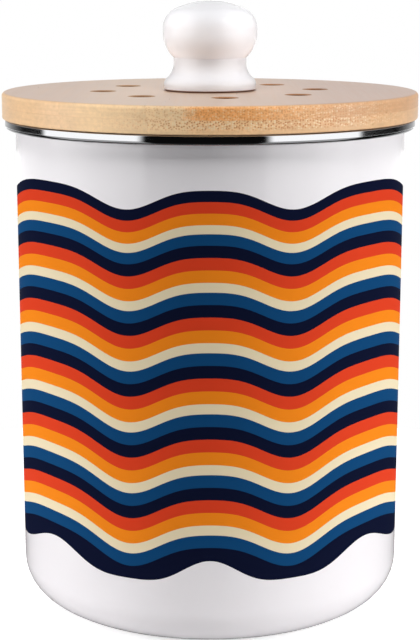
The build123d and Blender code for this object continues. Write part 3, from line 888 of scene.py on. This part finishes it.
class CADDY_OT_plug(bpy.types.Operator):
    """Turn the bamboo ring that centres the lid, and its silicone seal"""
    bl_idname = "caddy.plug"
    bl_label = "Plug and Seal"

    def execute(self, context):
        lid, seal, finish = context.scene.caddy_lid, context.scene.caddy_seal, context.scene.caddy_finish
        low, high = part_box("lid_plug")
        inner, floor = high.x - lid.plug_width, high.x - lid.groove_depth
        groove_top = high.z - lid.groove_drop
        groove_bottom = groove_top - lid.groove_height
        bm = outline([
            (inner, high.z),
            (inner, low.z, lid.plug_round),
            (high.x, low.z, lid.plug_round),
            (high.x, groove_bottom),
            (floor, groove_bottom),
            (floor, groove_top),
            (high.x, groove_top),
            (high.x, high.z),
        ], closed=True)
        lathe(bm, steps=240)
        wood = laminated_bamboo(
            "Bamboo, plug ring", finish, (low, high), first_seam=3 * MM, amber=0.0, right_tone_and_shade=0.7,
            speckle=0.5, speckle_from=0.2,
        )
        add_piece("plug_ring", bm, "lid", ["lid_plug"], [wood])

        bore, face = floor + seal.fit, high.x + seal.body_proud
        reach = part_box("seal_ring")[1].x
        top, bottom = groove_top - seal.fit, groove_bottom + seal.fit
        corners = [(bore, top), (bore, bottom), (face, bottom)]
        for fin in range(seal.fins):
            middle = (groove_top + groove_bottom) / 2 + (fin - (seal.fins - 1) / 2) * seal.fin_pitch
            root = middle - (seal.fin_root + seal.fin_lift) / 2
            corners += [
                (face, root),
                (reach, root + seal.fin_lift),
                (reach, root + seal.fin_lift + seal.fin_tip),
                (face, root + seal.fin_root),
            ]
        bm = outline(corners + [(face, top)], closed=True)
        lathe(bm, steps=240)
        rubber = moulded_satin(
            "Moulded silicone", finish.silicone, roughness=0.48, grain_size=0.15 * MM,
            grain_height=0.004 * MM, ior=1.41,
        )
        add_piece("silicone_seal", bm, "lid", ["seal_ring"], [rubber])
        return {"FINISHED"}


class CADDY_OT_knob(bpy.types.Operator):
    """Throw and glaze the white knob"""
    bl_idname = "caddy.knob"
    bl_label = "Glazed Knob"

    def execute(self, context):
        knob, finish = context.scene.caddy_knob, context.scene.caddy_finish
        low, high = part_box("knob")
        bulge = high.x
        crown_turn = asin((bulge - knob.shoulder) / (knob.crown - knob.shoulder))
        under_centre = bulge - knob.under
        under_turn = acos((knob.neck / 2 - under_centre) / knob.under)
        spread = (knob.flare + knob.foot_round) * (1 - cos(knob.flare_turn))
        slope = (knob.foot / 2 - knob.neck / 2 - spread) / sin(knob.flare_turn)
        foot_height = (
            knob.foot_bottom_round + knob.foot_band + slope * cos(knob.flare_turn)
            + (knob.foot_round + knob.flare) * sin(knob.flare_turn)
        )
        pen = Pen(0, high.z)
        pen.arc(knob.crown, -crown_turn)
        pen.arc(knob.shoulder, crown_turn - radians(90))
        pen.line(knob.side)
        pen.arc(knob.under, -under_turn)
        pen.turn_to(-90)
        pen.line(pen.tip.co.z - low.z - foot_height)
        pen.arc(knob.flare, knob.flare_turn)
        pen.line(slope)
        pen.arc(knob.foot_round, -knob.flare_turn)
        pen.line(knob.foot_band)
        pen.arc(knob.foot_bottom_round, radians(-90))
        pen.line(pen.tip.co.x - knob.recess / 2)
        pen.turn_to(90)
        pen.line(knob.recess_depth)
        pen.turn_to(180)
        pen.line(pen.tip.co.x - knob.socket / 2)
        pen.turn_to(90)
        pen.line(knob.socket_depth)
        pen.turn_to(180)
        pen.line(pen.tip.co.x)
        lathe(pen.bm, steps=192)
        glaze = glazed_porcelain("Glazed porcelain", finish.glaze, finish.knob_foot_shadow, low.z)
        add_piece("glazed_knob", pen.bm, "lid", ["knob"], [glaze])
        return {"FINISHED"}


class CADDY_OT_fastenings(bpy.types.Operator):
    """Finish the brass insert, the screws and the washer"""
    bl_idname = "caddy.fastenings"
    bl_label = "Fastenings"

    def execute(self, context):
        finish = context.scene.caddy_finish
        brass = turned_metal("Turned brass", finish.brass, roughness=0.28, line_height=0.006 * MM)
        dress("knob_insert", brass)
        zinc = turned_metal(
            "Bright zinc plated steel", finish.zinc, roughness=0.3, line_height=0.003 * MM
        )
        for node in ("knob_screw", "knob_washer", "filter_holder_screws"):
            dress(node, zinc)
        return {"FINISHED"}


class CADDY_OT_filter(bpy.types.Operator):
    """Finish the filter holder and its cap, and cut the charcoal pad"""
    bl_idname = "caddy.filter"
    bl_label = "Filter"

    def execute(self, context):
        finish = context.scene.caddy_finish
        plastic = moulded_satin(
            "Moulded polypropylene", finish.plastic, roughness=0.42, grain_size=0.3 * MM,
            grain_height=0.012 * MM, ior=1.49,
        )
        for node in ("filter_holder", "filter_cap"):
            dress(node, plastic)
        low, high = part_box("filter_pad")
        edge_round, swell_height, swell_size, rows = 1.6 * MM, 0.35 * MM, 7 * MM, 24
        bm = outline([(0, low.z), (high.x, low.z, edge_round), (high.x, high.z, edge_round), (0, high.z)])
        long_edges = [edge for edge in bm.edges if edge.calc_length() > high.x / 2]
        bmesh.ops.subdivide_edges(bm, edges=long_edges, cuts=rows)
        lathe(bm, steps=160)
        middle = (low.z + high.z) / 2
        for vert in bm.verts:
            squeeze = swell_height * (1 - noise.noise(vert.co / swell_size)) / 2
            vert.co.z += squeeze if vert.co.z < middle else -squeeze
        felt = needled_felt("Charcoal felt", finish.charcoal)
        pad = add_piece("charcoal_pad", bm, "filter_tray", ["filter_pad"], [felt])
        return {"FINISHED"}


class CADDY_OT_stage(bpy.types.Operator):
    """Set the pale floor, the soft studio light and the camera"""
    bl_idname = "caddy.stage"
    bl_label = "Stage"

    def execute(self, context):
        stage = context.scene.caddy_stage
        self.floor(stage)
        self.world(context.scene)
        self.lamps()
        camera = bpy.data.objects.new("Camera", bpy.data.cameras.new("Camera"))
        camera.location = (0, -stage.distance, stage.height)
        camera.rotation_euler = (radians(90) - stage.pitch, 0, 0)
        camera.data.lens = stage.lens
        bpy.context.collection.objects.link(camera)
        context.scene.camera = camera
        context.scene.view_settings.view_transform = "Standard"
        return {"FINISHED"}

    def floor(self, stage):
        """A pale disc that looks white to the camera, keeps the caddy's shadow and is dark in the gloss."""
        lift, in_gloss, steps = 0.6, 0.06, 96
        bm = bmesh.new()
        bmesh.ops.create_circle(bm, cap_ends=True, radius=stage.floor, segments=steps)
        mesh = bpy.data.meshes.new("Floor")
        bm.to_mesh(mesh)
        bm.free()
        material, tree, _ = start_material("Pale studio floor")
        seen, mirrored = kinds_of_ray(tree)
        paint = add_node(tree, "BsdfPrincipled", {"Base Color": stage.floor_colour, "Roughness": 0.8})
        glow = add_node(tree, "Math", {"Value": seen, "Value_001": lift}, operation="MULTIPLY")
        white = add_node(tree, "Emission", {"Strength": glow})
        lifted = add_node(tree, "AddShader", {"Shader": paint, "Shader_001": white})
        image = add_node(tree, "Emission", {"Strength": in_gloss})
        both = add_node(tree, "MixShader", {"Fac": mirrored, "Shader": lifted, "Shader_001": image})
        add_node(tree, "OutputMaterial", {"Surface": both})
        mesh.materials.append(material)
        floor = bpy.data.objects.new("Floor", mesh)
        bpy.context.collection.objects.link(floor)

    def world(self, scene):
        """The studio that the gloss mirrors: white sides, a dark front, and a grey back over a dark low edge.

        That edge turns pale straight behind, where a backdrop stands over the lid. The table lies below, and
        the ceiling is dimmer than the sides. The camera sees white, and the lamps give the light, to which
        the world adds only a little from all sides.
        """
        sides, table, front, behind, low_edge, far_edge = 1.35, 0.45, 0.004, 0.3, 0.004, 0.8
        backdrop, overhead, fill = 0.8, 0.5, 0.08
        front_turn, back_turn = -2.7, 173.5
        world = bpy.data.worlds.new("Studio")
        world.use_nodes = True
        tree = world.node_tree
        tree.nodes.clear()
        way = add_node(tree, "TexCoord")["Generated"]
        height = add_node(tree, "SeparateXYZ", {"Vector": way})["Z"]
        flat = add_node(tree, "VectorMath", {"Vector": way, "Vector_001": (1, 1, 0)}, operation="MULTIPLY")
        level = add_node(tree, "VectorMath", {"Vector": flat}, operation="NORMALIZE")
        towards_front, towards_back, straight_back = [
            add_node(
                tree, "VectorMath",
                {"Vector": level, "Vector_001": (sin(radians(turned)), -cos(radians(turned)), 0)},
                operation="DOT_PRODUCT",
            )["Value"]
            for turned in (front_turn, back_turn, 180)
        ]

        # Each field fades in between two angles, in degrees.
        in_front, is_behind, over_edge, under_edge, up, down, middle, over_lid, far = [
            add_node(
                tree, "MapRange",
                {"Value": value, "From Min": measure(radians(start)), "From Max": measure(radians(end))},
                interpolation_type=curve,
            )
            for curve, value, measure, start, end in (
                ("SMOOTHSTEP", towards_front, cos, 38, 32),
                ("SMOOTHSTEP", towards_back, cos, 86, 79),
                ("SMOOTHSTEP", height, sin, -6, -5.75),
                ("SMOOTHSTEP", height, sin, 3, 1),
                ("SMOOTHSTEP", height, sin, 35, 75),
                ("SMOOTHSTEP", height, sin, -7, -8),
                ("SMOOTHSTEP", straight_back, cos, 16, 12),
                ("SMOOTHSTEP", height, sin, 1, 2.5),
                ("LINEAR", straight_back, cos, 58, 0),
            )
        ]
        high_behind, edge, above_lid, floor_behind, grey = [
            add_node(tree, "Math", {"Value": one, "Value_001": other}, operation="MULTIPLY")
            for one, other in (
                (is_behind, over_edge), (over_edge, under_edge), (middle, over_lid), (is_behind, down),
                (far, far),
            )
        ]
        low_behind = add_node(tree, "Math", {"Value": is_behind, "Value_001": edge}, operation="MULTIPLY")
        edge_tone = add_node(tree, "MapRange", {"Value": grey, "To Min": low_edge, "To Max": far_edge})
        seen, mirrored = kinds_of_ray(tree)
        lit = add_node(tree, "Math", {"Value": 1.0, "Value_001": mirrored}, operation="SUBTRACT")
        strength = sides
        for factor, value in (
            (down, table), (in_front, front), (floor_behind, edge_tone), (high_behind, behind),
            (low_behind, edge_tone), (above_lid, backdrop), (up, overhead), (lit, fill), (seen, 1.0),
        ):
            strength = add_node(
                tree, "Mix", {"Factor_Float": factor, "A_Float": strength, "B_Float": value},
                data_type="FLOAT",
            )
        back = add_node(tree, "Background", {"Color": (1, 1, 1, 1), "Strength": strength})
        add_node(tree, "OutputWorld", {"Surface": back})
        scene.world = world

    def lamps(self):
        """A soft box at each side, one above the camera, and a weak one behind"""
        middle = Vector((0, 0, 0.12))
        for place, energy, width, height in (
            ((-1.094, -0.115, 0.2), 10.0, 0.5, 0.4),
            ((1.067, -0.266, 0.2), 10.2, 0.5, 0.4),
            ((0, -0.528, 1.202), 9.3, 0.5, 0.5),
            ((0.1, 1.1, 0.45), 5.5, 0.5, 0.5),
        ):
            lamp = bpy.data.lights.new("Soft box", "AREA")
            lamp.shape = "RECTANGLE"
            lamp.size, lamp.size_y = width, height
            lamp.energy = energy
            holder = bpy.data.objects.new("Soft box", lamp)
            holder.location = place
            holder.rotation_euler = (middle - holder.location).to_track_quat("-Z", "Y").to_euler()
            holder.visible_glossy = False
            bpy.context.collection.objects.link(holder)


def kinds_of_ray(tree):
    """1 for rays that show the stage itself, and 1 for those that the camera sees in gloss or metal."""
    before_first = 0.5
    rays = add_node(tree, "LightPath")
    seen = add_node(
        tree, "Math", {"Value": rays["Is Camera Ray"], "Value_001": rays["Is Transmission Ray"]},
        operation="MAXIMUM",
    )
    undiffused = add_node(
        tree, "Math", {"Value": rays["Diffuse Depth"], "Value_001": before_first}, operation="LESS_THAN"
    )
    mirrored = add_node(
        tree, "Math", {"Value": rays["Is Glossy Ray"], "Value_001": undiffused}, operation="MULTIPLY"
    )
    return seen, mirrored


class CADDY_PT_sidebar(bpy.types.Panel):
    """Sizes, colours and builders of the caddy"""
    bl_label = "Compost Caddy"
    bl_space_type = "VIEW_3D"
    bl_region_type = "UI"
    bl_category = "Caddy"

    def draw(self, context):
        for operator in OPERATORS:
            self.layout.operator(operator.bl_idname)
        for name, group in GROUPS.items():
            box = self.layout.box()
            box.label(text=group.__name__)
            for field in group.__annotations__:
                box.prop(getattr(context.scene, name), field)


GROUPS = {
    "caddy_pot": CaddyPot,
    "caddy_print": CaddyPrint,
    "caddy_lid": CaddyLid,
    "caddy_seal": CaddySeal,
    "caddy_knob": CaddyKnob,
    "caddy_finish": CaddyFinish,
    "caddy_stage": CaddyStage,
}
OPERATORS = (
    CADDY_OT_stage,
    CADDY_OT_pot,
    CADDY_OT_rim,
    CADDY_OT_boards,
    CADDY_OT_plug,
    CADDY_OT_knob,
    CADDY_OT_fastenings,
    CADDY_OT_filter,
)


def register():
    for kind in (*GROUPS.values(), *OPERATORS, CADDY_PT_sidebar):
        bpy.utils.register_class(kind)
    for name, group in GROUPS.items():
        setattr(bpy.types.Scene, name, bpy.props.PointerProperty(type=group))


def unregister():
    for name in GROUPS:
        delattr(bpy.types.Scene, name)
    for kind in (CADDY_PT_sidebar, *reversed(OPERATORS), *GROUPS.values()):
        bpy.utils.unregister_class(kind)


def main():
    register()
    bpy.ops.caddy.stage()
    bpy.ops.caddy.pot()
    bpy.ops.caddy.rim()
    bpy.ops.caddy.boards()
    bpy.ops.caddy.plug()
    bpy.ops.caddy.knob()
    bpy.ops.caddy.fastenings()
    bpy.ops.caddy.filter()


if __name__ == "__main__":
    main()
